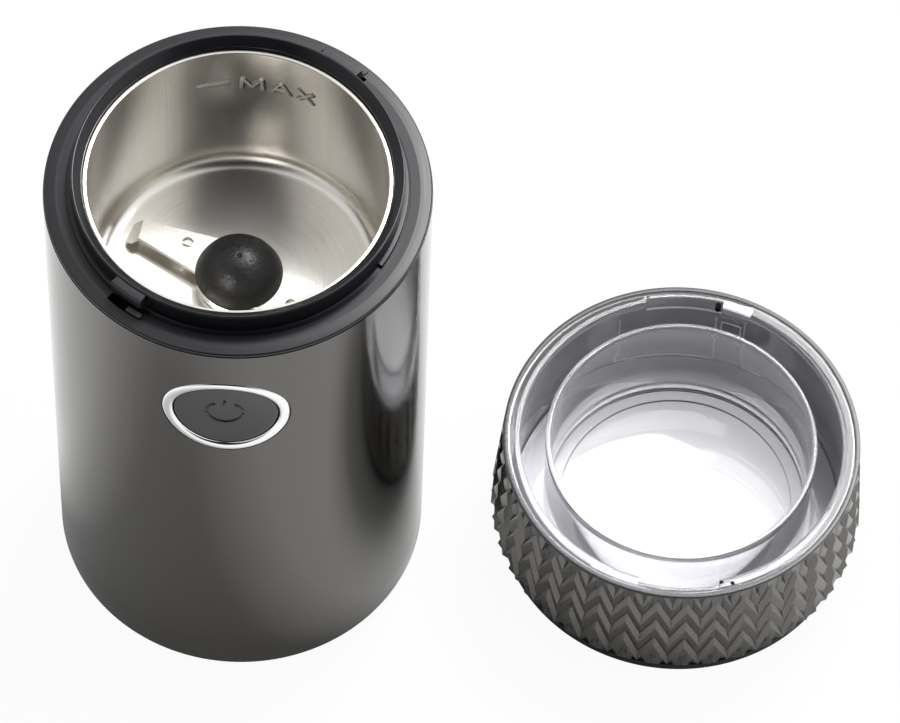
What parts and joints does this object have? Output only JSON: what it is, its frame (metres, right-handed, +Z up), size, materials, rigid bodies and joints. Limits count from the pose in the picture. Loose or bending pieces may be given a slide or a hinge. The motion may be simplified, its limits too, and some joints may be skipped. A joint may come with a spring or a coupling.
{
  "type": "electric spice grinder",
  "caption": "Upright round electric spice grinder with a steel cup, a domed blade, a front power button and a clear lid standing upside down beside it.",
  "frame": {"origin": "on the axis of the grinder's base, on the surface that its feet stand on", "axes": "+Z up, the power button faces -Y, and the lid stands upside down on the +X side"},
  "size_m": [0.1993, 0.0954, 0.1569],
  "materials": {
    "casing_paint": "satin",
    "black_plastic": "matte",
    "cup_steel": "brushed",
    "chrome_trim": "polished",
    "button_plastic": "satin",
    "base_plastic": "matte",
    "feet_rubber": "matte",
    "gland_rubber": "matte",
    "chassis_plastic": "matte",
    "seal_rubber": "matte",
    "bearing_steel": "ground",
    "bracket_metal": "cast",
    "bracket_plastic": "matte",
    "stack_steel": "laminated",
    "copper_wire": "lacquered",
    "holder_brass": "satin",
    "carbon": "matte",
    "spring_steel": "bright",
    "screw_steel": "zinc plated",
    "board_plastic": "matte",
    "switch_plastic": "matte",
    "terminal_plastic": "matte",
    "lead_cover": "matte",
    "plunger_plastic": "satin",
    "shaft_steel": "ground",
    "commutator_metal": "turned",
    "fan_plastic": "matte",
    "hub_steel": "polished",
    "blade_steel": "satin",
    "knob_plastic": "matte",
    "grip_plastic": "satin",
    "trim_plastic": "matte",
    "clear_plastic": "clear moulded plastic"
  },
  "bodies": {
    "base": {"outer_casing": "casing_paint", "top_collar": "black_plastic", "grinding_cup": "cup_steel", "button_bezel": "chrome_trim", "base_plate": "base_plastic", "rubber_feet": "feet_rubber", "cord_gland": "gland_rubber", "inner_chassis": "chassis_plastic", "cup_seal": "seal_rubber", "cup_seat": "chassis_plastic", "shaft_seal": "seal_rubber", "upper_bearing": "bearing_steel", "lower_bearing": "bearing_steel", "upper_motor_bracket": "bracket_metal", "lower_motor_bracket": "bracket_plastic", "stator_core": "stack_steel", "field_coils": "copper_wire", "brush_holders": "holder_brass", "carbon_brushes": "carbon", "brush_springs": "spring_steel", "motor_screws": "screw_steel", "rubber_dampers": "seal_rubber", "switch_board": "board_plastic", "push_switch": "switch_plastic", "button_spring": "spring_steel", "interlock_switch": "switch_plastic", "interlock_spring": "spring_steel", "terminal_block": "terminal_plastic", "switch_leads": "lead_cover", "base_screws": "screw_steel"},
    "rotor": {"blade_hub": "hub_steel", "blade": "blade_steel", "blade_knob": "knob_plastic", "motor_shaft": "shaft_steel", "armature_core": "stack_steel", "armature_windings": "copper_wire", "commutator": "commutator_metal", "cooling_fan": "fan_plastic"},
    "button": {"power_button": "button_plastic"},
    "interlock": {"interlock_plunger": "plunger_plastic"},
    "lid": {"lid_grip_band": "grip_plastic", "lid_trim_ring": "trim_plastic", "lid_skirt": "clear_plastic", "lid_bowl": "clear_plastic"}
  },
  "joints": [
    {"name": "blade_spin", "type": "hinge", "parent": "base", "child": "rotor", "pos_m": [0, 0, 0], "axis": [0, 0, 1], "continuous": true},
    {"name": "power_button_press", "type": "slide", "parent": "base", "child": "button", "axis": [0, 1, 0], "range_m": [0, 0.001], "stiffness_N_per_m": 1500, "springref_m": -0.0008, "deforming": ["button_spring"]},
    {"name": "interlock_press", "type": "slide", "parent": "base", "child": "interlock", "axis": [0, 0, -1], "range_m": [0, 0.0025], "stiffness_N_per_m": 400, "springref_m": -0.002, "deforming": ["interlock_spring"]},
    {"name": "lid_lift", "type": "slide", "parent": "base", "child": "lid", "axis": [0, 0, 1], "range_m": [0, 0.15]}
  ]
}
